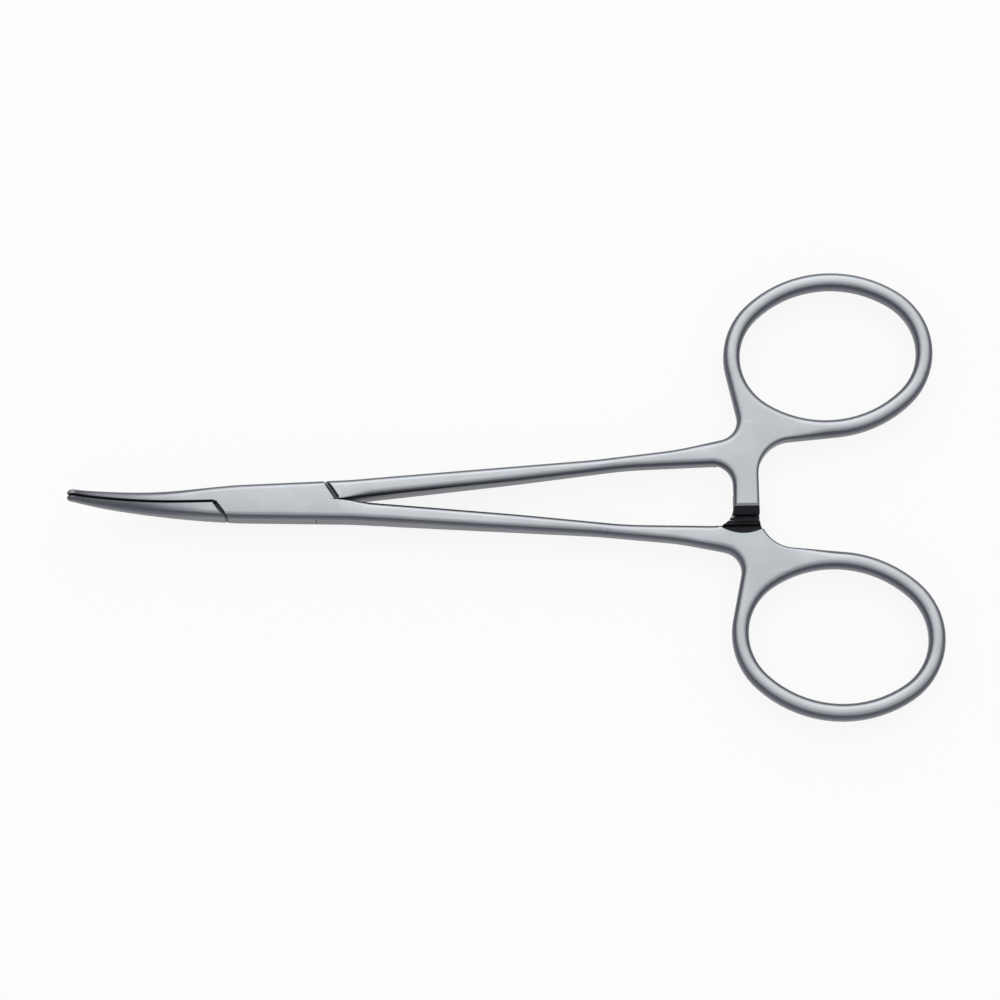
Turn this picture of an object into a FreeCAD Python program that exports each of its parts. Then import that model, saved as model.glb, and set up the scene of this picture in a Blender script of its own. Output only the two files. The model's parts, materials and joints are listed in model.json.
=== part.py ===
import FreeCAD, Part
import math
import os

# Sizes are in millimetres. X runs from the pivot to the finger rings, Y across the rings and Z up.
# The model is drawn about the middle plane of the box lock and lifted at the end, so that the
# underside of the lock lies on Z = 0.

# Box lock
lock_thickness = 4.4
slot_height = 1.9
tongue_clearance = 0.03
front_step = ((-8.4, 0.0), (-6.7, -2.3))
rear_step = ((8.7, 0.0), (7.0, 2.6))
front_seam = 0.3
rear_seam = 0.45
web_radius = 6.5
tongue_radius = 6.4
parting_gap = 0.04
edge_break = 0.18
shoulder_round = 0.45
parting_groove_width = 0.42
parting_groove_depth = 0.26

# Pivot pin
pin_radius = 1.1
pin_running_clearance = 0.04
pin_head_radius = 1.5
pin_head_depth = 0.4

# Jaws
jaw_root_x = -9.0
jaw_tip_x = -28.1
jaw_straight = 2.4
jaw_tip_rise = 6.2
jaw_tip_thickness = 1.6

# Serrations across the jaw faces
tooth_pitch = 0.7
tooth_height = 0.2
tooth_clearance = 0.02
tooth_count = 28
groove_overcut = 1.3
tooth_reach = 1.0

# Ratchet bars
bar_front_x = 65.0
bar_width = 3.65
upper_bar_tip_y = -2.8
lower_bar_tip_y = 0.0
bar_step_y = 5.8
bar_step_sag = (2.7, 1.7)
bar_split_gap = 0.05
ratchet_pitch = 1.0
ratchet_depth = 0.45
upper_ratchet_teeth = 3
lower_ratchet_teeth = 5
ratchet_first_y = -0.15
ratchet_offset = 0.1
bar_lead_in = 1.4
bar_tip_thickness = 0.8

# Outline of one arm from above: the corners of its outer and inner edge lines, each with the
# radius that smooths it
outer_corners = (
    ((-31.5, 0.55), 0),
    ((-9.9, 2.1), 30),
    ((-5.4, 2.45), 30),
    ((10.8, 2.92), 60),
    ((bar_front_x - 20.0, 5.43), 80),
    ((bar_front_x - 7.5, 6.78), 40),
    ((bar_front_x + 1.4, 8.8), 3.0),
)
inner_corners = (
    ((4.0, -0.43), 0),
    ((bar_front_x - 31.0, 2.4), 80),
    ((bar_front_x - 15.0, 4.14), 60),
    ((bar_front_x, 4.6), 3.0),
)
shank_thickness = 3.0
crotch_round_x = 9.2
taper_start_x = 16.0
taper_end_x = 47.0
taper_bend = 150

# Finger rings, whose middle line is an oval of four arcs
ring_centre = (bar_front_x + 14.2, 20.65)
ring_semi_axes = (13.83, 10.98)
ring_end_radius = 9.45
ring_band = 2.35
ring_splay = 5.0
neck_rear_radius = 5.0

# Rounding of the outer edges, which is the ring's past a corner in X and Y
tip_round = 0.42
jaw_round = 1.15
jaw_round_share = 0.3
arm_round = 0.9
crotch_round = 0.12
ring_round = 1.08
ring_round_corner = (bar_front_x - 5.0, 5.0)
bar_round = 0.55

# How far the cuts and helper solids reach past the metal
far = 200.0
below = -9.0
above = 12.0
lock_end_x = 12.0
lock_side_y = 9.0
tongue_front_x = -9.2
tongue_rear_x = 9.6
inner_waste_y = -0.5
bar_side_y = 1.0
overshoot = 0.2

# Points nearer to each other than this count as one
touching = 0.01

half = lock_thickness / 2
thin = shank_thickness / 2
bar_rear_x = bar_front_x + bar_width
bar_middle_x = bar_front_x + bar_width / 2
rear_end_x = ring_centre[0] + ring_semi_axes[0] + ring_band


def v(x, y, z=0.0):
    return FreeCAD.Vector(x, y, z)


def spline(points, start, end):
    """The smooth curve through points, with its directions at both ends."""
    curve = Part.BSplineCurve()
    curve.interpolate(Points=points, InitialTangent=start, FinalTangent=end)
    return curve


def arc(centre, radius, start, end):
    """The shorter arc about a centre between two points on it."""
    middle = centre + ((start - centre) + (end - centre)).normalize() * radius
    return Part.Arc(start, middle, end).toShape()


def rounded_line(points, radii):
    """Straight edges from point to point, with an arc of its radius at each inner corner."""
    edges = []
    start = points[0]
    for before, corner, after, radius in zip(points, points[1:], points[2:], radii):
        back = (before - corner).normalize()
        ahead = (after - corner).normalize()
        half_turn = (math.pi - back.getAngle(ahead)) / 2
        length = radius * math.tan(half_turn)
        first = corner + back * length
        last = corner + ahead * length
        centre = corner + (back + ahead).normalize() * (radius / math.cos(half_turn))
        edges += [Part.makeLine(start, first), arc(centre, radius, first, last)]
        start = last
    return edges + [Part.makeLine(start, points[-1])]


def face_of(curves):
    return Part.Face(Part.Wire(Part.__sortEdges__(curves)))


def polygon(points):
    return Part.Face(Part.makePolygon([v(x, y) for x, y in points] + [v(*points[0])]))


def prism(face, low, high):
    """The solid over a flat face between two heights."""
    lowered = face.copy()
    lowered.translate(v(0, 0, low))
    return lowered.extrude(v(0, 0, high - low))


def box(x0, x1, y0, y1, z0, z1):
    return Part.makeBox(x1 - x0, y1 - y0, z1 - z0, v(x0, y0, z0))


def flipped(shape):
    """The shape with Y turned round."""
    return shape.mirror(v(0, 0, 0), v(0, 1, 0))


# The middle line of the jaws is straight at the root and then one arc that rises to the tip.
bend_start_x = -(-front_step[0][0] + jaw_straight)
bend_run = bend_start_x - jaw_tip_x
bend_radius = (bend_run ** 2 + jaw_tip_rise ** 2) / (2 * jaw_tip_rise)
bend_angle = math.asin(bend_run / bend_radius)


def jaw_point(share, side):
    """A point on the top (side 1) or underside (side -1) of the jaws' side view."""
    angle = share * bend_angle
    thickness = lock_thickness + share * (jaw_tip_thickness - lock_thickness)
    radius = bend_radius - side * thickness / 2
    return v(bend_start_x - radius * math.sin(angle), 0, bend_radius - radius * math.cos(angle))


def jaw_line(side):
    """The two edges of the jaws' side view on the top (side 1) or underside (side -1)."""
    along_tip = v(-math.cos(bend_angle), 0, math.sin(bend_angle))
    points = [v(jaw_root_x, 0, side * half)]
    points += [jaw_point(share, side) for share in (0.25, 0.5, 0.75, 1.0)]
    curve = spline(points, v(-1, 0, 0), along_tip)
    first, last = curve.FirstParameter, curve.LastParameter
    middle = first + jaw_round_share * (last - first)
    return [curve.toShape(first, middle), curve.toShape(middle, last)]


def jaw_profile():
    """The edges of the jaws' side view from the root over the top, round the tip and back underneath."""
    top_tip = jaw_point(1, 1)
    under_tip = jaw_point(1, -1)
    along_tip = v(-math.cos(bend_angle), 0, math.sin(bend_angle))
    nose = (top_tip + under_tip) * 0.5 + along_tip * (jaw_tip_thickness / 2)
    return jaw_line(1) + [Part.Arc(top_tip, nose, under_tip).toShape()] + jaw_line(-1)


def side_view():
    """The closed outline of the side view, which sets the thickness everywhere."""
    edges = jaw_profile()
    for side in (1, -1):
        flat = [v(x, 0, side * half) for x in (jaw_root_x, crotch_round_x, taper_start_x)]
        end = v(rear_end_x, 0, side * thin)
        edges.append(Part.makeLine(flat[0], flat[1]))
        bends = [flat[1], flat[2], v(taper_end_x, 0, side * thin), end]
        edges += rounded_line(bends, [taper_bend, taper_bend])
    edges.append(Part.makeLine(v(rear_end_x, 0, thin), v(rear_end_x, 0, -thin)))
    return face_of(edges)


def ring_direction():
    """The directions of the ring's long and short axes."""
    splay = math.radians(ring_splay)
    return v(math.cos(splay), math.sin(splay)), v(-math.sin(splay), math.cos(splay))


# Each end arc of the ring's middle line meets the two side arcs where their centres are in line.
end_offset = ring_semi_axes[0] - ring_end_radius
side_radius = (end_offset ** 2 + ring_semi_axes[1] ** 2 - ring_end_radius ** 2) / 2
side_radius = side_radius / (ring_semi_axes[1] - ring_end_radius)
side_offset = side_radius - ring_semi_axes[1]


def ring_end(along):
    """The centre of the rear (1) or front (-1) end arc."""
    return v(*ring_centre) + ring_direction()[0] * (along * end_offset)


def ring_side(up):
    """The centre of the outer (1) or inner (-1) side arc."""
    return v(*ring_centre) - ring_direction()[1] * (up * side_offset)


def ring_joint(along, up, grow):
    """Where an end arc and a side arc meet, on the middle line moved outward."""
    away = (ring_end(along) - ring_side(up)).normalize()
    return ring_side(up) + away * (side_radius + grow)


def oval(grow):
    """The ring's oval, moved outward from its middle line."""
    edges = []
    for turn in (1, -1):
        joints = [ring_joint(turn, -turn, grow), ring_joint(turn, turn, grow)]
        edges.append(arc(ring_end(turn), ring_end_radius + grow, *joints))
        joints = [ring_joint(turn, turn, grow), ring_joint(-turn, turn, grow)]
        edges.append(arc(ring_side(turn), side_radius + grow, *joints))
    return edges


def inner_line():
    """The edges of the outline from the bar's tip along the inner side of the shank."""
    points = [v(bar_front_x, upper_bar_tip_y)] + [v(*corner) for corner, radius in reversed(inner_corners)]
    return rounded_line(points, [radius for corner, radius in reversed(inner_corners)][:-1])


def arm_outline():
    """The outline from above of one jaw, one side of the lock, one shank, its ring and its bar."""
    grow = ring_band / 2
    heel = v(*outer_corners[-1][0])
    front = ring_end(-1)
    off = heel - front
    turn = math.degrees(math.acos((ring_end_radius + grow) / off.Length))
    rotation = FreeCAD.Rotation(v(0, 0, 1), -turn)
    touch = front + rotation.multVec(off.normalize()) * (ring_end_radius + grow)
    points = [v(*corner) for corner, radius in outer_corners] + [touch]
    edges = rounded_line(points, [radius for corner, radius in outer_corners[1:]])
    joints = [touch] + [ring_joint(a, u, grow) for a, u in ((-1, 1), (1, 1), (1, -1))]
    edges.append(arc(front, ring_end_radius + grow, joints[0], joints[1]))
    edges.append(arc(ring_side(1), side_radius + grow, joints[1], joints[2]))
    edges.append(arc(ring_end(1), ring_end_radius + grow, joints[2], joints[3]))
    along, across = ring_direction()
    leave = ring_side(-1) - across * (side_radius + grow)
    edges.append(arc(ring_side(-1), side_radius + grow, joints[3], leave))
    neck = leave - along * ((leave.x - bar_rear_x) / along.x)
    tip = [v(bar_rear_x, upper_bar_tip_y), v(bar_front_x, upper_bar_tip_y)]
    edges += rounded_line([leave, neck, tip[0]], [neck_rear_radius])
    edges.append(Part.makeLine(tip[0], tip[1]))
    edges += inner_line()
    root = v(*inner_corners[0][0])
    low = [root, v(root.x, below), v(points[0].x, below), points[0]]
    edges += [Part.makeLine(p, q) for p, q in zip(low, low[1:])]
    return face_of(edges)


def round_at(point):
    """The rounding radius of the outline's edges at one of their ends."""
    on_bar = min(abs(point.x - bar_front_x), abs(point.x - bar_rear_x)) < 5 * touching
    if on_bar and point.y < outer_corners[-1][0][1]:
        return bar_round
    if point.x > ring_round_corner[0] and point.y > ring_round_corner[1]:
        return ring_round
    if 0 < point.x < crotch_round_x + touching and point.y < 1:
        return crotch_round
    if point.x > jaw_root_x:
        return arm_round
    share = (jaw_root_x - point.x) / (jaw_root_x - jaw_tip_x)
    if share < jaw_round_share:
        return arm_round + (jaw_round - arm_round) * share / jaw_round_share
    rest = min(1, (share - jaw_round_share) / (1 - jaw_round_share))
    return jaw_round + (tip_round - jaw_round) * rest


def middle_of(edge):
    return edge.valueAt((edge.FirstParameter + edge.LastParameter) / 2)


def group_of(edge):
    """Whether an edge of the outline is in the ring's hole, on the inner side or on the outer side."""
    at = middle_of(edge)
    spot = Part.Vertex(v(at.x, at.y))
    if Part.Wire(oval(-ring_band / 2)).distToShape(spot)[0] < touching:
        return "hole"
    if Part.Wire(inner_line()).distToShape(spot)[0] < touching:
        return "inner"
    return "outer"


def long_edges(blank):
    """The outline's edges on top and underneath, and round the tip of the jaw."""
    edges = []
    for edge in blank.Edges:
        a = edge.Vertexes[0].Point
        b = edge.Vertexes[-1].Point
        upright = math.hypot(a.x - b.x, a.y - b.y) < touching and abs(a.z - b.z) > touching
        crossing = abs(a.x - b.x) < touching and a.x < bar_front_x - 1 and abs(a.y - b.y) > touching
        bar_end = max(abs(a.y - upper_bar_tip_y), abs(b.y - upper_bar_tip_y)) < touching
        if not (upright or crossing or bar_end or middle_of(edge).y < below / 2):
            edges.append(edge)
    return edges


def rounded(solid, edges):
    """The solid with edges rounded, each from the radius at its start to the radius at its end."""
    rows = []
    for number, edge in enumerate(solid.Edges, 1):
        for wanted in edges:
            same = (middle_of(edge) - middle_of(wanted)).Length < touching
            if same and abs(edge.Length - wanted.Length) < 5 * touching:
                start = edge.valueAt(edge.FirstParameter)
                end = edge.valueAt(edge.LastParameter)
                rows.append((number, round_at(start), round_at(end)))
    document = FreeCAD.newDocument("rounding")
    base = document.addObject("Part::Feature", "base")
    base.Shape = solid
    fillet = document.addObject("Part::Fillet", "fillet")
    fillet.Base = base
    fillet.Edges = rows
    document.recompute()
    result = fillet.Shape.copy()
    FreeCAD.closeDocument(document.Name)
    return result


def arm_half():
    """One jaw, one side of the lock, one shank, its ring and its ratchet bar, with +Y outward."""
    view = side_view()
    view.translate(v(0, -far, 0))
    hole = prism(face_of(oval(-ring_band / 2)), below, above)
    blank = prism(arm_outline(), below, above).cut(hole).common(view.extrude(v(0, 2 * far, 0)))
    edges = long_edges(blank)
    for group in ("outer", "hole", "inner"):
        blank = rounded(blank, [edge for edge in edges if group_of(edge) == group])
    return blank.cut(box(-far, bar_front_x - bar_width, -far, inner_waste_y, below, above))


def middle_line(length):
    """The point on the jaws' middle line at a length from their root, and the directions along and across."""
    straight = jaw_root_x - bend_start_x
    if length < straight:
        return v(jaw_root_x - length, 0, 0), v(-1, 0, 0), v(0, 0, 1)
    angle = (length - straight) / bend_radius
    across = v(math.sin(angle), 0, math.cos(angle))
    point = v(bend_start_x, 0, bend_radius) - across * bend_radius
    return point, v(-math.cos(angle), 0, math.sin(angle)), across


def groove(length, apex_y, open_side):
    """A V groove across a jaw face, with its apex line at a height in Y and open towards one side."""
    point, along, across = middle_line(length)
    depth = groove_overcut * tooth_height
    width = depth * tooth_pitch / (2 * tooth_height)
    apex = point + v(0, apex_y) - across * lock_thickness
    opening = apex + v(0, open_side * depth)
    corners = [apex, opening + along * width, opening - along * width, apex]
    return Part.Face(Part.makePolygon(corners)).extrude(across * (2 * lock_thickness))


def tooth_zone(low, high):
    """The part of the jaws that has teeth, between two heights in Y."""
    point, along, across = middle_line(tooth_count * tooth_pitch)
    ends = [point - across * lock_thickness, point + across * lock_thickness]
    corners = [v(jaw_root_x, 0, -lock_thickness), *ends, v(jaw_root_x, 0, above)]
    corners = [v(p.x, low, p.z) for p in corners]
    return Part.Face(Part.makePolygon(corners + corners[:1])).extrude(v(0, high - low, 0))


def step_line(step, gap):
    """The start of a step line moved away from the pivot by a gap, its direction and the way out."""
    start = v(*step[0])
    along = (v(*step[1]) - start).normalize()
    out = v(along.y, -along.x)
    if out.dot(start) < 0:
        out = out * -1
    return start + out * gap, along, out


def beyond(step):
    """The upright block past a step line of the lock."""
    start, along, out = step_line(step, 0)
    corners = [start - along * far, start + along * far]
    corners += [corners[1] + out * far, corners[0] + out * far]
    return prism(polygon([(p.x, p.y) for p in corners]), below, above)


def shoulder(step, gap, face_y):
    """The block past a step line and on its side of a face in Y, with the corner between them rounded."""
    start, along, out = step_line(step, gap)
    corner = start + along * ((face_y - start.y) / along.y)
    ends = [corner + along * far, corner + v(math.copysign(far, start.x), 0)]
    edges = rounded_line([ends[0], corner, ends[1]], [shoulder_round])
    outside = ends[1] + along * far
    edges += [Part.makeLine(ends[1], outside), Part.makeLine(outside, ends[0])]
    return prism(face_of(edges), below, above)


def parting_groove():
    """The fine V groove where the jaws part, all round their side view from the lock's corner."""
    top = v(jaw_root_x, 0, half)
    sides = [v(0, side * parting_groove_width / 2, edge_break) for side in (1, -1)]
    depth = v(0, 0, -parting_groove_depth)
    wide = 1 + edge_break / parting_groove_depth
    corners = [top + depth] + [top + v(0, side.y * wide, side.z) for side in sides]
    profile = Part.makePolygon(corners + corners[:1])
    sweep = Part.BRepOffsetAPI.MakePipeShell(Part.Wire(jaw_profile()))
    sweep.setBiNormalMode(v(0, 1, 0))
    sweep.add(profile)
    sweep.build()
    sweep.makeSolid()
    start = Part.Face(profile).extrude(v(front_step[0][0] - front_seam - jaw_root_x, 0, 0))
    other_start = start.mirror(v(0, 0, 0), v(0, 0, 1))
    return [sweep.shape(), start, other_start]


def broken_edges(step, gap):
    """Small wedges that break the edges at a step line, on top and underneath, on one side of the seam."""
    start, along, out = step_line(step, 0)
    end = v(*step[1])
    inward = out * (-edge_break if gap == 0 else edge_break)
    wedges = []
    for side in (1, -1):
        corner = start + out * gap + v(0, 0, side * half)
        lifted = corner + v(0, 0, side * edge_break) - inward
        points = [lifted, lifted + inward * 3, corner - v(0, 0, side * edge_break * 2) - inward, lifted]
        wedges.append(Part.Face(Part.makePolygon(points)).extrude(along * ((end - start).Length + 1)))
    return wedges


def disc(radius):
    return Part.makeCylinder(radius, 2 * half, v(0, 0, -half))


def lock_slot(radius, gap, height):
    """The space of the tongue between the lock's walls."""
    front_side = box(-lock_end_x, 0, -lock_side_y, -gap, -half, half)
    rear_side = box(0, lock_end_x, gap, lock_side_y, -half, half)
    slab = box(-lock_end_x, lock_end_x, -lock_side_y, lock_side_y, -height / 2, height / 2)
    return disc(radius).fuse([front_side, rear_side]).common(slab)


def pin_shape():
    """The pivot pin, with a countersunk head at each end, flush with the lock."""
    foot = half - pin_head_depth
    outline = [(0, -half), (pin_head_radius, -half), (pin_radius, -foot)]
    outline += [(pin_radius, foot), (pin_head_radius, half), (0, half)]
    points = [v(x, 0, z) for x, z in outline]
    return Part.Face(Part.makePolygon(points + points[:1])).revolve(v(0, 0), v(0, 0, 1), 360)


def ratchet_notch(crest_y, side):
    """One saw tooth's notch across a bar: upright at its crest, then sloping back to the next one."""
    level = side * bar_split_gap / 2
    root = level + side * ratchet_depth
    back = crest_y + side * ratchet_pitch
    lift = -side * overshoot
    slope = ratchet_pitch / ratchet_depth
    corners = [(crest_y, level + lift), (crest_y, root), (back + side * overshoot * slope, level + lift)]
    points = [v(bar_front_x - bar_width / 2, y, z) for y, z in corners]
    return Part.Face(Part.makePolygon(points + points[:1])).extrude(v(2 * bar_width, 0, 0))


def bar_relief(side):
    """The space over one arm's bar, which leaves the bar half as thick beyond a step."""
    step = side * bar_step_y
    beside = -side * 2 * bar_step_y
    reach = (bar_front_x - bar_width, bar_rear_x + bar_width / 2)
    ends = [v(x, step - side * sag) for x, sag in zip(reach, bar_step_sag)]
    edge = Part.Arc(ends[0], v(bar_middle_x, step), ends[1]).toShape()
    corners = [ends[1], v(ends[1].x, beside), v(ends[0].x, beside), ends[0]]
    face = face_of([edge] + [Part.makeLine(p, q) for p, q in zip(corners, corners[1:])])
    if side > 0:
        return prism(face, below, bar_split_gap / 2)
    return prism(face, -bar_split_gap / 2, above)


def bar_lead(tip_y, side):
    """The wedge off a bar's tip, on its outer face."""
    inner = tip_y + side * bar_lead_in
    outer = tip_y - side * overshoot
    top = side * (thin + overshoot)
    rise = (thin - bar_tip_thickness) / bar_lead_in
    low = side * (bar_tip_thickness - overshoot * rise)
    over = inner + side * overshoot / rise
    corners = ((outer, low), (outer, top), (over, top))
    points = [v(bar_front_x - bar_width / 2, y, z) for y, z in corners]
    return Part.Face(Part.makePolygon(points + points[:1])).extrude(v(2 * bar_width, 0, 0))


def box_arm(half_arm, pin):
    """The arm with the slotted lock: its jaw is on +Y and its shank and ring are on -Y."""
    gap = parting_gap / 2
    low = -tooth_height / 2 + tooth_clearance
    root = front_step[0][0]
    jaw_side = box(-far, root, gap, far, below, above)
    lock_side = box(root, lock_end_x, 0, far, below, above)
    face = jaw_side.fuse([lock_side, tooth_zone(low, tooth_reach)])
    front = half_arm.common(face).cut(beyond(rear_step))
    rear = flipped(half_arm).common(box(-far, far, -far, 0, below, above)).cut(beyond(front_step))
    arm = front.fuse(rear)
    cutters = [lock_slot(web_radius, 0, slot_height), pin, bar_relief(-1), bar_lead(lower_bar_tip_y, -1)]
    cutters += broken_edges(front_step, 0) + broken_edges(rear_step, 0) + parting_groove()
    for number in range(lower_ratchet_teeth):
        cutters.append(ratchet_notch(ratchet_first_y - number * ratchet_pitch, -1))
    apex = tooth_height / 2 + tooth_clearance
    for number in range(tooth_count):
        cutters.append(groove((number + 0.5) * tooth_pitch, apex, -1))
    return arm.cut(cutters)


def tongue_arm(half_arm, pin):
    """The arm whose tongue passes through the lock: its jaw is on -Y and its shank and ring on +Y."""
    gap = parting_gap / 2
    high = tooth_height / 2 - tooth_clearance
    other = flipped(half_arm)
    face = box(-far, 0, -far, -gap, below, above).fuse(tooth_zone(-tooth_reach, high))
    teeth = tooth_zone(-tooth_reach, tooth_reach)
    front = other.common(face).common(shoulder(front_step, front_seam, -gap).fuse(teeth))
    bar_side = box(bar_front_x - bar_width, far, -far, bar_side_y, below, above)
    rear = half_arm.common(shoulder(rear_step, rear_seam, gap).fuse(bar_side))
    tongue_block = box(tongue_front_x, tongue_rear_x, -lock_side_y, lock_side_y, below, above)
    tongue = half_arm.fuse(other).common(tongue_block)
    tongue = tongue.common(lock_slot(tongue_radius, parting_gap, slot_height - 2 * tongue_clearance))
    arm = front.fuse([rear, tongue])
    cutters = [disc(pin_radius + pin_running_clearance), bar_relief(1), bar_lead(upper_bar_tip_y, 1)]
    cutters += broken_edges(front_step, front_seam) + broken_edges(rear_step, rear_seam)
    cutters += parting_groove()
    for number in range(upper_ratchet_teeth):
        crest = ratchet_first_y - ratchet_offset - number * ratchet_pitch
        cutters.append(ratchet_notch(crest, 1))
    apex = -tooth_height / 2 - tooth_clearance
    for number in range(tooth_count + 1):
        cutters.append(groove(number * tooth_pitch, apex, 1))
    return arm.cut(cutters)


def main():
    os.makedirs("parts", exist_ok=True)
    half_arm = arm_half()
    pin = pin_shape()
    pieces = {
        "box_arm": box_arm(half_arm, pin),
        "tongue_arm": tongue_arm(half_arm, pin),
        "pivot_pin": pin,
    }
    for name, shape in pieces.items():
        shape.translate(v(0, 0, half))
        shape.exportStep("parts/" + name + ".step")


if __name__ == "__main__":
    main()
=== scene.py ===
"""Haemostatic forceps in satin stainless steel, laid on a pale studio floor."""

import json
import math

import bmesh
import bpy
from mathutils import Matrix, Vector


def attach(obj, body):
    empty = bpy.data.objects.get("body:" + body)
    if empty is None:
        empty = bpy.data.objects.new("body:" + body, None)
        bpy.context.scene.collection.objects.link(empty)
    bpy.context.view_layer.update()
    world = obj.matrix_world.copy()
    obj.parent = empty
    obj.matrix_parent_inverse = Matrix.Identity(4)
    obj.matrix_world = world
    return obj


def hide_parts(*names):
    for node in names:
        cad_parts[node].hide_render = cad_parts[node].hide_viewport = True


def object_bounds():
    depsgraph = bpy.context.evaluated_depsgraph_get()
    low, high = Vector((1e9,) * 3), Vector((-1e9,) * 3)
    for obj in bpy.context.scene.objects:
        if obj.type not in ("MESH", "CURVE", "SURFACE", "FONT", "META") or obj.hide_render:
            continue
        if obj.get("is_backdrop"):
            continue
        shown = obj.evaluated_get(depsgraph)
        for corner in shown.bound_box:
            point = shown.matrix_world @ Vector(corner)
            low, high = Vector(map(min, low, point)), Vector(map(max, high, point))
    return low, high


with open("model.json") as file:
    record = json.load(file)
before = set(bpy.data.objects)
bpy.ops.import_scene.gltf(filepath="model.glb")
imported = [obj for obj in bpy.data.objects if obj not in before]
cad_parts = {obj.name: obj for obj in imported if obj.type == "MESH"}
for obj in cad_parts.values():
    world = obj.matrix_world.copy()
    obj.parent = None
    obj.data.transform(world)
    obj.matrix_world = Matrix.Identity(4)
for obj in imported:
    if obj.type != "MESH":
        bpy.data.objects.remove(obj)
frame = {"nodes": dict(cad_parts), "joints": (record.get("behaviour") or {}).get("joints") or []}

bl_info = {
    "name": "Haemostatic Forceps",
    "version": (1, 0, 0),
    "blender": (4, 5, 0),
    "location": "View3D > Sidebar > Forceps",
    "description": "Finishes the steel of a pair of locking forceps and sets up its studio",
    "category": "Object",
}

# The frame's bodies and nodes
BOX_BODY = "box_half"
TONGUE_BODY = "tongue_half"
ARMS = {"box_arm": BOX_BODY, "tongue_arm": TONGUE_BODY}
PIN = "pivot_pin"

# Vertices of a node that are nearer than this are one vertex, in metres
MERGE_DISTANCE = 2e-6

# One millimetre and one micrometre, in metres
MM = 0.001
MICRON = 0.000001

# The two seams across the lock in plan, in millimetres: the ends of the box's edge and the gap
# beside it. Their painted shade reaches a little past the gap and stops short of the lock's two faces
SEAMS = (
    ((-8.4, 0.0), (-6.7, -2.3), 0.3),
    ((8.7, 0.0), (7.0, 2.6), 0.45),
)
LOCK_TOP = 4.4
SEAM_EDGE = 0.03
LOCK_MARGIN = 0.1

# The painted shade in the groove where the jaws part, in millimetres: where it starts ahead of the
# pivot and its half width.
# Then the steepness at which its walls end and the serrated faces begin
GROOVE_START = (8.3, 8.6)
GROOVE_HALF = (0.1, 0.24)
GROOVE_WALLS = (0.55, 0.68)

# The ratchet in millimetres: its extent in X and Y, the height at which its two bars meet, the slope
# at the end of the upper bar, and a strip where the painted shade on the ratchet is mostly left out
RATCHET_FRONT, RATCHET_REAR = 63.0, 70.0
RATCHET_LOW, RATCHET_HIGH = -5.9, 0.2
RATCHET_SPLIT = 2.25
UPPER_TIP, UPPER_LEAD = -3.0, -1.75
UPPER_FACE = 3.64
SLOPE_OVERLAP = 0.1
UNSHADED_STRIP_LOW, UNSHADED_STRIP_HIGH = -3.55, -2.8
UNSHADED_STRIP_SHARE = 0.9

# The middle of a noise, which goes from 0 to 1
NOISE_MIDDLE = 0.5

# The brushed grain: its stretch along the arms, and the coarser and lower grain that has no direction,
# as shares of its scale and height
GRAIN_STRETCH = (0.035, 1.0, 1.0)
EVEN_SCALE = 0.45
EVEN_HEIGHT = 0.5

# Scratches from the tray: the turn of each set and its lines per metre, how they are stretched,
# how narrow they are, and the patches that they come in
SCRATCH_SETS = ((0.35, 900.0), (-0.6, 1250.0), (1.35, 700.0))
SCRATCH_STRETCH = (0.05, 1.0, 1.0)
SCRATCH_NARROWNESS = 70.0
SCRATCH_PATCHES = 160.0
PATCH_EDGE = (0.56, 0.68)
SCRATCH_LIGHT = 1.08
SCRATCH_TONE = 0.3
SCRATCH_HEIGHT = 0.6

# How much the grain, the clouds, the steep sides and the painted shade in the crevices change the
# roughness
GRAIN_ROUGHNESS = 0.12
CLOUD_ROUGHNESS = 0.08
SIDE_ROUGHNESS = 0.05
CREVICE_ROUGHNESS = 0.3

# The steepness over which the painted shade of the steep sides comes in, and the part of the noise that
# makes the clouds
SIDE_EDGE = (0.02, 0.25)
CLOUD_EDGE = (0.3, 0.7)

# The jaws get painted shade over a distance ahead of the pivot, less on the +Y side of the line where
# they part. The crown of the lock's face fades out over a distance behind the pivot. In millimetres
TIP_FADE = (8.5, 21.0)
JAW_LINE = (-0.3, 0.3)
UPPER_JAW_RELIEF = 0.4
CROWN_FADE = (6.0, 16.0)

# The cosines to the bright direction between which the room gets brighter, and the cool tint elsewhere
SKY_EDGE = (0.35, 1.05)
SKY_COOL = (0.96, 0.97, 1.0, 1.0)
WHITE = (1.0, 1.0, 1.0, 1.0)

# The floor: its gap under the forceps, in millimetres, the sides of its circle and its roughness
FLOOR_GAP = 0.02
FLOOR_SIDES = 96
FLOOR_ROUGHNESS = 0.9

# The camera sees what is between these distances, in metres
CLIP_START, CLIP_END = 0.01, 20.0

# The attribute of a dressed piece that holds how far its surface leans from level
STEEPNESS = "steepness"

# A Mix node's sockets between its factor and its two colours, and its output for a colour
OTHER_SOCKETS = (None,) * 5
MIXED_COLOUR = 2

PIVOT = Vector(frame["joints"][0]["pos_m"])


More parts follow.
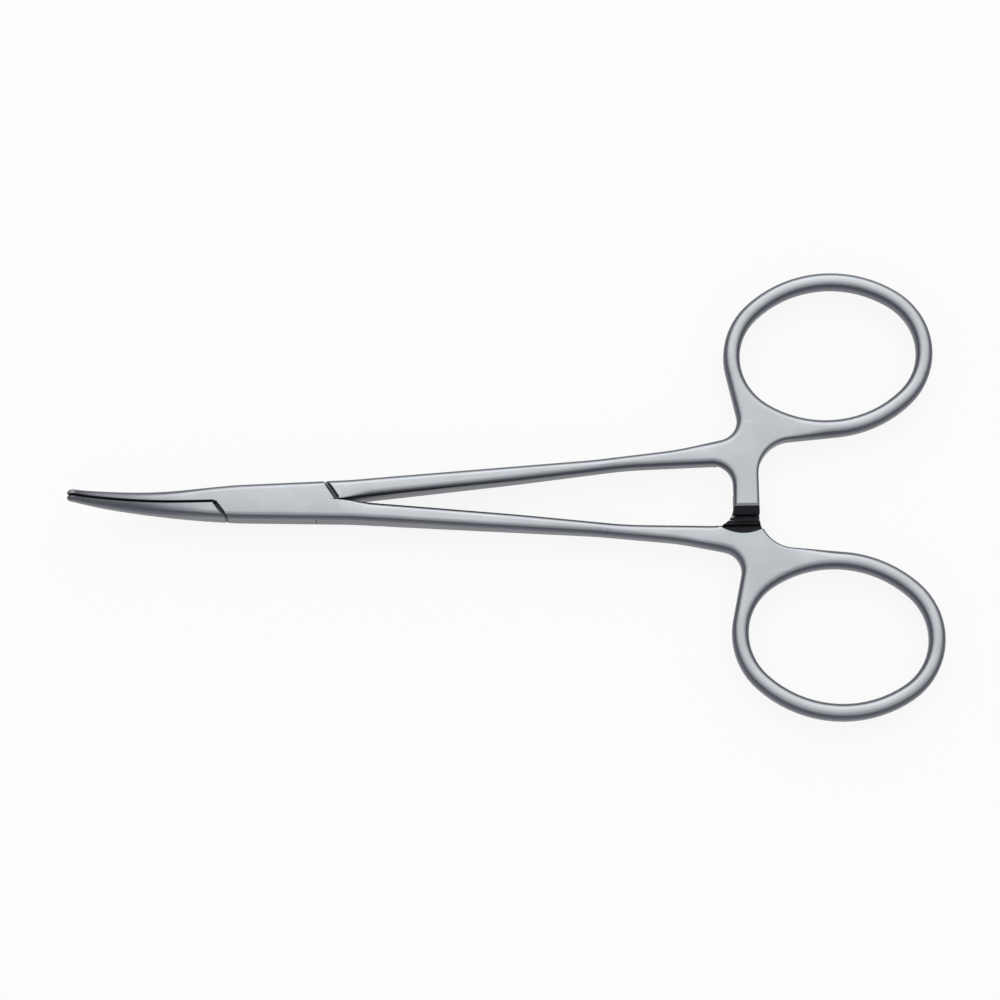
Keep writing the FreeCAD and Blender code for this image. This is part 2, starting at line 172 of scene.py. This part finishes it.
class Value:
    """A node's socket, which Python's operators turn into Math nodes."""

    def __init__(self, shader, socket):
        self.shader = shader
        self.socket = socket

    def _math(self, operation, *values):
        return self.shader.node("ShaderNodeMath", {"operation": operation}, *values)

    def __add__(self, other):
        return self._math("ADD", self, other)

    def __radd__(self, other):
        return self._math("ADD", other, self)

    def __sub__(self, other):
        return self._math("SUBTRACT", self, other)

    def __rsub__(self, other):
        return self._math("SUBTRACT", other, self)

    def __mul__(self, other):
        return self._math("MULTIPLY", self, other)

    def __rmul__(self, other):
        return self._math("MULTIPLY", other, self)

    def __truediv__(self, other):
        return self._math("DIVIDE", self, other)

    def __rtruediv__(self, other):
        return self._math("DIVIDE", other, self)

    def __abs__(self):
        return self._math("ABSOLUTE", self)

    def above(self, limit):
        """1 where the value is over the limit, and 0 elsewhere."""
        return self._math("GREATER_THAN", self, limit)

    def between(self, low, high):
        """1 where the value is between two limits, and 0 elsewhere."""
        return self.above(low) * self._math("LESS_THAN", self, high)

    def lower_of(self, other):
        return self._math("MINIMUM", self, other)

    def higher_of(self, other):
        return self._math("MAXIMUM", self, other)

    def smooth(self, low, high):
        """0 below the low limit, 1 above the high limit and a soft step between them."""
        settings = {"interpolation_type": "SMOOTHSTEP", "clamp": True}
        return self.shader.node("ShaderNodeMapRange", settings, self, low, high, 0.0, 1.0)


class Shader:
    """The node tree of one material or of the world."""

    def __init__(self, owner):
        owner.use_nodes = True
        self.tree = owner.node_tree
        self.tree.nodes.clear()

    def node(self, kind, settings=None, *values, output=0, **named):
        """A node of a type with its settings made first, then values or links for its sockets."""
        made = self.tree.nodes.new(kind)
        for name, value in (settings or {}).items():
            setattr(made, name, value)
        sockets = list(zip(made.inputs, values))
        sockets += [(made.inputs[name.replace("_", " ")], value) for name, value in named.items()]
        for socket, value in sockets:
            if isinstance(value, Value):
                self.tree.links.new(value.socket, socket)
            elif value is not None:
                socket.default_value = value
        return Value(self, made.outputs[output]) if made.outputs else None

    def place(self):
        """The Object coordinates, in metres, and their three parts in millimetres."""
        place = self.node("ShaderNodeTexCoord", output="Object")
        parts = [self.node("ShaderNodeSeparateXYZ", None, place, output=axis) for axis in "XYZ"]
        return place, [part / MM for part in parts]

    def turned(self, place, turn=0.0, stretch=(1.0, 1.0, 1.0)):
        """The place scaled and turned about Z, for a pattern that has a direction."""
        return self.node(
            "ShaderNodeMapping",
            {"vector_type": "POINT"},
            place,
            Rotation=(0.0, 0.0, turn),
            Scale=stretch,
        )

    def noise(self, place, scale, detail=2.0, roughness=0.5):
        """A soft random pattern from 0 to 1, whose scale is lumps per metre."""
        return self.node(
            "ShaderNodeTexNoise",
            {"noise_dimensions": "3D"},
            Vector=place,
            Scale=scale,
            Detail=detail,
            Roughness=roughness,
        )

    def colour_mix(self, factor, first, second):
        """The first colour turning into the second as the factor goes from 0 to 1."""
        values = (factor, *OTHER_SOCKETS, first, second)
        return self.node("ShaderNodeMix", {"data_type": "RGBA"}, *values, output=MIXED_COLOUR)

    def surface(self, shader):
        self.node("ShaderNodeOutputMaterial", None, shader)


def linear(colour):
    """A colour as a picture shows it, from 0 to 1, in the linear values that a shader takes."""
    parts = [c / 12.92 if c <= 0.04045 else ((c + 0.055) / 1.055) ** 2.4 for c in colour]
    return (*parts, 1.0)


def steel_material(name, finish, seams=True):
    """Satin stainless steel: a fine brushed grain along the arms, faint scratches from the tray,
    soft clouding, painted shade on the steep sides and towards the tips, and painted shade in the
    groove, the seams and the ratchet where the pieces meet."""
    material = bpy.data.materials.new(name)
    shader = Shader(material)
    place, (x, y, z) = shader.place()

    along = shader.turned(place, 0.0, GRAIN_STRETCH)
    grain = shader.noise(along, finish.grain_scale, detail=3.0, roughness=0.65)
    even_grain = shader.noise(place, finish.grain_scale * EVEN_SCALE)
    clouds = shader.noise(place, finish.cloud_scale, detail=3.0, roughness=0.55)
    scratches = tray_scratches(shader, place)

    bright = linear(finish.colour)
    clouded = linear([part * finish.cloud_depth for part in finish.colour])
    scratched = linear([min(1.0, part * SCRATCH_LIGHT) for part in finish.colour])
    colour = shader.colour_mix(clouds.smooth(*CLOUD_EDGE), clouded, bright)
    colour = shader.colour_mix(scratches * SCRATCH_TONE, colour, scratched)

    steepness = shader.node("ShaderNodeAttribute", {"attribute_name": STEEPNESS}, output="Fac")
    # Painted shade: the steep sides are darkened in the colour, and their roughness rises a little
    sides = steepness.smooth(*SIDE_EDGE)
    # Painted shade: the jaws are darkened towards their tips, less on the upper jaw
    tips = (-1.0 * x).smooth(*TIP_FADE) * (1.0 - y.smooth(*JAW_LINE) * UPPER_JAW_RELIEF)
    for share in (sides * finish.side_shade, tips * finish.tip_shade):
        colour = shader.colour_mix(share, colour, linear(finish.painted_shade_colour))

    roughness = finish.roughness + (grain - NOISE_MIDDLE) * GRAIN_ROUGHNESS
    roughness = roughness + (clouds - NOISE_MIDDLE) * CLOUD_ROUGHNESS + sides * SIDE_ROUGHNESS
    height = (grain + even_grain * EVEN_HEIGHT - scratches * SCRATCH_HEIGHT) * finish.grain_depth
    height = height - y * y * (1.0 - x.smooth(*CROWN_FADE)) * finish.crown

    # Painted shade in the groove where the jaws part, in the lock's seams and on the ratchet, which
    # also get rougher
    if seams:
        crevice_shade = parting_groove_shade(x, y, steepness)
        crevice_shade = crevice_shade.higher_of(lock_seam_shade(x, y, z) * finish.lock_seam_shade)
        crevice_shade = crevice_shade.higher_of(ratchet_teeth_shade(x, y, z) * finish.ratchet_teeth_shade)
        colour = shader.colour_mix(crevice_shade, colour, linear(finish.crevice_shade_colour))
        roughness = roughness + crevice_shade * CREVICE_ROUGHNESS

    bump = shader.node(
        "ShaderNodeBump",
        None,
        Strength=1.0,
        Distance=MICRON,
        Height=height,
    )
    steel = shader.node(
        "ShaderNodeBsdfPrincipled",
        None,
        Base_Color=colour,
        Metallic=1.0,
        Roughness=roughness,
        Normal=bump,
    )
    shader.surface(steel)
    return material


def tray_scratches(shader, place):
    """A mask of thin straight scratches, in patches, in a few directions."""
    scratches = None
    for turn, scale in SCRATCH_SETS:
        streaks = shader.noise(shader.turned(place, turn, SCRATCH_STRETCH), scale, detail=0.0)
        line = 1.0 - (abs(streaks - NOISE_MIDDLE) * SCRATCH_NARROWNESS).lower_of(1.0)
        patches = shader.noise(shader.turned(place, turn), SCRATCH_PATCHES, detail=1.0)
        line = line * patches.smooth(*PATCH_EDGE)
        scratches = line if scratches is None else scratches.higher_of(line)
    return scratches


def parting_groove_shade(x, y, steepness):
    """A mask of painted shade in the groove along the line where the jaws part.
    The serrated faces are steeper and are left out."""
    ahead = (-1.0 * x).smooth(*GROOVE_START)
    groove = 1.0 - steepness.smooth(*GROOVE_WALLS)
    return (1.0 - abs(y).smooth(*GROOVE_HALF)) * ahead * groove


def lock_seam_shade(x, y, z):
    """A mask of painted shade on the walls of the two seams across the lock, away from its top and its
    underside.
    """
    mask = None
    middle = LOCK_TOP / 2
    inside = 1.0 - abs(z - middle).above(middle - LOCK_MARGIN)
    for start, end, gap in SEAMS:
        along = (Vector(end) - Vector(start)).normalized()
        out = Vector((along.y, -along.x))
        if out.dot(Vector(start)) < 0:
            out.negate()
        offset = out.x * (x - start[0]) + out.y * (y - start[1])
        ahead = along.x * (x - start[0]) + along.y * (y - start[1])
        seam = offset.between(-SEAM_EDGE, gap + SEAM_EDGE) * ahead.above(-gap) * inside
        mask = seam if mask is None else mask.higher_of(seam)
    return mask


def ratchet_teeth_shade(x, y, z):
    """A mask of painted shade on the lower bar's teeth and the upper bar's sloped end,
    faint in a strip across the upper bar's end."""
    beside = x.between(RATCHET_FRONT, RATCHET_REAR)
    teeth = y.between(RATCHET_LOW, RATCHET_HIGH) * z.between(0.0, RATCHET_SPLIT)
    slope = y.between(UPPER_TIP, UPPER_LEAD) * z.between(RATCHET_SPLIT - SLOPE_OVERLAP, UPPER_FACE)
    unshaded_strip = y.between(UNSHADED_STRIP_LOW, UNSHADED_STRIP_HIGH) * UNSHADED_STRIP_SHARE
    return beside * teeth.higher_of(slope) * (1.0 - unshaded_strip)


def floor_material(colour, glow):
    """A matt white floor that looks lit from within, so that only a faint shadow stays on it."""
    material = bpy.data.materials.new("studio_floor")
    shader = Shader(material)
    matt = shader.node(
        "ShaderNodeBsdfPrincipled",
        None,
        Base_Color=linear(colour),
        Roughness=FLOOR_ROUGHNESS,
    )
    white = shader.node("ShaderNodeEmission", None, WHITE, 1.0)
    rays = ("Is Camera Ray", "Is Glossy Ray", "Is Transmission Ray")
    seen, mirrored, refracted = (shader.node("ShaderNodeLightPath", output=ray) for ray in rays)
    share = seen.higher_of(mirrored).higher_of(refracted) * glow
    shader.surface(shader.node("ShaderNodeMixShader", None, share, matt, white))
    return material


def smooth_copy(node, sharp_angle):
    """A copy of a node with its loose triangles joined, shaded smooth up to an angle."""
    mesh = bpy.data.meshes.new(node + "_steel")
    form = bmesh.new()
    form.from_mesh(frame["nodes"][node].data)
    bmesh.ops.remove_doubles(form, verts=form.verts, dist=MERGE_DISTANCE)
    for face in form.faces:
        face.smooth = True
    for edge in form.edges:
        edge.smooth = edge.is_manifold and edge.calc_face_angle(math.pi) < sharp_angle
    form.to_mesh(mesh)
    form.free()
    mark_steepness(mesh)
    piece = bpy.data.objects.new(node + "_steel", mesh)
    bpy.context.scene.collection.objects.link(piece)
    return piece


def mark_steepness(mesh):
    """Store at each corner how far the surface leans, from 0 for level to 1 for upright."""
    steepness = mesh.attributes.new(STEEPNESS, "FLOAT", "CORNER")
    for value, normal in zip(steepness.data, mesh.corner_normals):
        value.value = 1.0 - abs(normal.vector.z)


def dress(node, body, material, sharp_angle):
    """Put a finished copy in the place of a node, and let it ride on the node's body."""
    piece = smooth_copy(node, sharp_angle)
    piece.data.materials.append(material)
    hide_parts(node)
    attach(piece, body)


class ForcepsFinish(bpy.types.PropertyGroup):
    """The look of the satin steel."""

    colour: bpy.props.FloatVectorProperty(
        name="Steel colour",
        description="Colour of the satin steel as a picture shows it",
        default=(0.745, 0.762, 0.778),
        subtype="COLOR_GAMMA",
        min=0.0,
        max=1.0,
    )
    cloud_depth: bpy.props.FloatProperty(
        name="Clouding",
        description="Tone of the darker clouds, as a share of the steel's colour",
        default=0.94,
        subtype="FACTOR",
        min=0.5,
        max=1.0,
    )
    cloud_scale: bpy.props.FloatProperty(
        name="Cloud scale",
        description="Clouds per metre",
        default=110.0,
    )
    grain_scale: bpy.props.FloatProperty(
        name="Grain scale",
        description="Lines of the brushed grain per metre, across the arms",
        default=5200.0,
    )
    roughness: bpy.props.FloatProperty(
        name="Roughness",
        description="How much the satin finish blurs what it reflects",
        default=0.3,
        subtype="FACTOR",
        min=0.0,
        max=1.0,
    )
    grain_depth: bpy.props.FloatProperty(
        name="Grain depth",
        description="Depth of the brushed grain, in micrometres",
        default=1.1,
    )
    crown: bpy.props.FloatProperty(
        name="Crown",
        description="Rounding of the lock's face, in micrometres at one millimetre from its middle",
        default=14.0,
    )
    # Painted shade: how much the steep sides are darkened in the colour
    side_shade: bpy.props.FloatProperty(
        name="Side tone",
        description="How much the steep sides keep the darker tone of the forging",
        default=1.0,
        subtype="FACTOR",
        min=0.0,
        max=1.0,
    )
    # Painted shade: how much the jaws are darkened towards their tips
    tip_shade: bpy.props.FloatProperty(
        name="Tip tone",
        description="How much the jaws darken towards their tips",
        default=0.95,
        subtype="FACTOR",
        min=0.0,
        max=1.0,
    )
    # The colour of the painted shade on the steep sides and towards the tips of the jaws
    painted_shade_colour: bpy.props.FloatVectorProperty(
        name="Side colour",
        description="Darker tone of the steep sides and the tips",
        default=(0.39, 0.395, 0.425),
        subtype="COLOR_GAMMA",
        min=0.0,
        max=1.0,
    )
    # The colour of the painted shade in the groove, the seams and the ratchet
    crevice_shade_colour: bpy.props.FloatVectorProperty(
        name="Residue colour",
        description="Colour of the dark residue in the grooves, the seams and the ratchet",
        default=(0.2, 0.2, 0.215),
        subtype="COLOR_GAMMA",
        min=0.0,
        max=1.0,
    )
    # Painted shade: how much the two seams across the lock are darkened
    lock_seam_shade: bpy.props.FloatProperty(
        name="Residue in the lock",
        description="How much residue there is in the two seams across the lock",
        default=0.6,
        subtype="FACTOR",
        min=0.0,
        max=1.0,
    )
    # Painted shade: how much the ratchet's teeth and ends are darkened
    ratchet_teeth_shade: bpy.props.FloatProperty(
        name="Residue on the ratchet",
        description="How much residue there is on the ratchet's teeth and ends",
        default=1.0,
        subtype="FACTOR",
        min=0.0,
        max=1.0,
    )
    sharp_angle: bpy.props.FloatProperty(
        name="Sharp edge angle",
        description="Edges that turn more than this are shaded sharp",
        default=math.radians(24),
        subtype="ANGLE",
    )


class StudioSetup(bpy.types.PropertyGroup):
    """The floor, the light and the camera."""

    floor_colour: bpy.props.FloatVectorProperty(
        name="Floor colour",
        description="Colour of the plain floor as a picture shows it",
        default=(0.985, 0.985, 0.985),
        subtype="COLOR_GAMMA",
        min=0.0,
        max=1.0,
    )
    floor_glow: bpy.props.FloatProperty(
        name="Floor glow",
        description="How much of the floor's look is its own white, which shadows don't darken",
        default=0.87,
        subtype="FACTOR",
        min=0.0,
        max=1.0,
    )
    floor_radius: bpy.props.FloatProperty(
        name="Floor radius",
        description="Radius of the round floor",
        default=2.5,
        unit="LENGTH",
    )
    sky_high: bpy.props.FloatProperty(
        name="Bright side",
        description="Brightness of the room on the side of the big diffuser",
        default=1.38,
    )
    sky_low: bpy.props.FloatProperty(
        name="Dark side",
        description="Brightness of the room on the far side",
        default=0.62,
    )
    sky_direction: bpy.props.FloatVectorProperty(
        name="Bright direction",
        description="Direction from the forceps to the middle of the diffuser",
        default=(0.0, 0.766, 0.643),
        subtype="DIRECTION",
    )
    key_power: bpy.props.FloatProperty(
        name="Lamp power",
        description="Power of the soft lamp",
        default=0.25,
        unit="POWER",
    )
    key_place: bpy.props.FloatVectorProperty(
        name="Lamp place",
        description="Place of the soft lamp",
        default=(0.05, 0.62, 0.5),
        subtype="TRANSLATION",
        unit="LENGTH",
    )
    key_size: bpy.props.FloatProperty(
        name="Lamp size",
        description="Side of the square lamp",
        default=0.5,
        unit="LENGTH",
    )
    camera_elevation: bpy.props.FloatProperty(
        name="Camera elevation",
        description="Angle of the camera over the floor",
        default=math.radians(75),
        subtype="ANGLE",
    )
    camera_distance: bpy.props.FloatProperty(
        name="Camera distance",
        description="Distance of the camera from the point that it looks at",
        default=0.56,
        unit="LENGTH",
    )
    camera_roll: bpy.props.FloatProperty(
        name="Camera roll",
        description="Turn of the camera about its own axis",
        default=math.radians(-0.95),
        subtype="ANGLE",
    )
    camera_target: bpy.props.FloatVectorProperty(
        name="Camera target",
        description="Point that the camera looks at",
        default=(0.0319, 0.0, 0.0022),
        subtype="TRANSLATION",
        unit="LENGTH",
    )
    camera_lens: bpy.props.FloatProperty(
        name="Lens",
        description="Focal length of the camera's lens, in millimetres",
        default=142.0,
    )


class FORCEPS_OT_arms(bpy.types.Operator):
    """Finish both arms in satin steel"""

    bl_idname = "forceps.arms"
    bl_label = "Finish the Arms"

    def execute(self, context):
        finish = context.scene.forceps_finish
        steel = steel_material("satin_steel", finish)
        for node, body in ARMS.items():
            dress(node, body, steel, finish.sharp_angle)
        return {"FINISHED"}


class FORCEPS_OT_pin(bpy.types.Operator):
    """Finish the flush pivot pin"""

    bl_idname = "forceps.pin"
    bl_label = "Finish the Pivot Pin"

    def execute(self, context):
        finish = context.scene.forceps_finish
        steel = steel_material("pin_steel", finish, seams=False)
        dress(PIN, BOX_BODY, steel, finish.sharp_angle)
        return {"FINISHED"}


class FORCEPS_OT_stage(bpy.types.Operator):
    """Lay the floor and set up the soft light and the camera"""

    bl_idname = "forceps.stage"
    bl_label = "Set up the Studio"

    def execute(self, context):
        studio = context.scene.studio_setup
        lay_floor(studio)
        light_room(context.scene, studio)
        hang_lamp(studio)
        aim_camera(context.scene, studio)
        context.scene.view_settings.view_transform = "Standard"
        return {"FINISHED"}


def lay_floor(studio):
    """A round floor just under the lowest point of the forceps."""
    mesh = bpy.data.meshes.new("floor")
    form = bmesh.new()
    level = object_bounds()[0].z - FLOOR_GAP * MM
    bmesh.ops.create_circle(
        form,
        cap_ends=True,
        segments=FLOOR_SIDES,
        radius=studio.floor_radius,
        matrix=Matrix.Translation((0.0, 0.0, level)),
    )
    form.to_mesh(mesh)
    form.free()
    floor = bpy.data.objects.new("floor", mesh)
    mesh.materials.append(floor_material(studio.floor_colour, studio.floor_glow))
    bpy.context.scene.collection.objects.link(floor)
    floor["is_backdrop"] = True


def light_room(scene, studio):
    """The room's light, bright round one direction and dimmer elsewhere."""
    world = bpy.data.worlds.new("studio_room")
    scene.world = world
    shader = Shader(world)
    direction = shader.node("ShaderNodeTexCoord", output="Generated")
    towards = tuple(Vector(studio.sky_direction).normalized())
    facing = shader.node(
        "ShaderNodeVectorMath", {"operation": "DOT_PRODUCT"}, direction, towards, output="Value"
    )
    share = facing.smooth(*SKY_EDGE)
    strength = studio.sky_low + share * (studio.sky_high - studio.sky_low)
    tint = shader.colour_mix(share, SKY_COOL, WHITE)
    background = shader.node("ShaderNodeBackground", None, tint, strength)
    shader.node("ShaderNodeOutputWorld", None, background)


def hang_lamp(studio):
    """A square lamp that points at the pivot."""
    light = bpy.data.lights.new("soft_lamp", "AREA")
    light.shape = "SQUARE"
    light.size = studio.key_size
    light.energy = studio.key_power
    lamp = bpy.data.objects.new("soft_lamp", light)
    lamp.location = studio.key_place
    aim = PIVOT - Vector(studio.key_place)
    lamp.rotation_euler = aim.to_track_quat("-Z", "Y").to_euler()
    bpy.context.scene.collection.objects.link(lamp)


def aim_camera(scene, studio):
    """The camera looks from -Y, high over the floor, with a slight roll."""
    lens = bpy.data.cameras.new("camera")
    lens.lens = studio.camera_lens
    lens.clip_start = CLIP_START
    lens.clip_end = CLIP_END
    camera = bpy.data.objects.new("camera", lens)
    tilt = Matrix.Rotation(math.pi / 2 - studio.camera_elevation, 4, "X")
    roll = Matrix.Rotation(studio.camera_roll, 4, "Z")
    back = Matrix.Translation((0.0, 0.0, studio.camera_distance))
    camera.matrix_world = Matrix.Translation(studio.camera_target) @ tilt @ roll @ back
    scene.collection.objects.link(camera)
    scene.camera = camera


class FORCEPS_PT_panel(bpy.types.Panel):
    """The steps that finish the forceps, and their settings"""

    bl_idname = "FORCEPS_PT_panel"
    bl_label = "Haemostatic Forceps"
    bl_space_type = "VIEW_3D"
    bl_region_type = "UI"
    bl_category = "Forceps"

    def draw(self, context):
        layout = self.layout
        for operator in OPERATORS:
            layout.operator(operator.bl_idname)
        for group in (context.scene.forceps_finish, context.scene.studio_setup):
            box = layout.box()
            for name in group.__annotations__:
                box.prop(group, name)


OPERATORS = (FORCEPS_OT_arms, FORCEPS_OT_pin, FORCEPS_OT_stage)
CLASSES = (ForcepsFinish, StudioSetup, *OPERATORS, FORCEPS_PT_panel)


def register():
    for item in CLASSES:
        bpy.utils.register_class(item)
    bpy.types.Scene.forceps_finish = bpy.props.PointerProperty(type=ForcepsFinish)
    bpy.types.Scene.studio_setup = bpy.props.PointerProperty(type=StudioSetup)


def unregister():
    del bpy.types.Scene.studio_setup
    del bpy.types.Scene.forceps_finish
    for item in reversed(CLASSES):
        bpy.utils.unregister_class(item)


def main():
    register()
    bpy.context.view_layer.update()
    for operator in OPERATORS:
        group, name = operator.bl_idname.split(".")
        getattr(getattr(bpy.ops, group), name)()


if __name__ == "__main__":
    main()
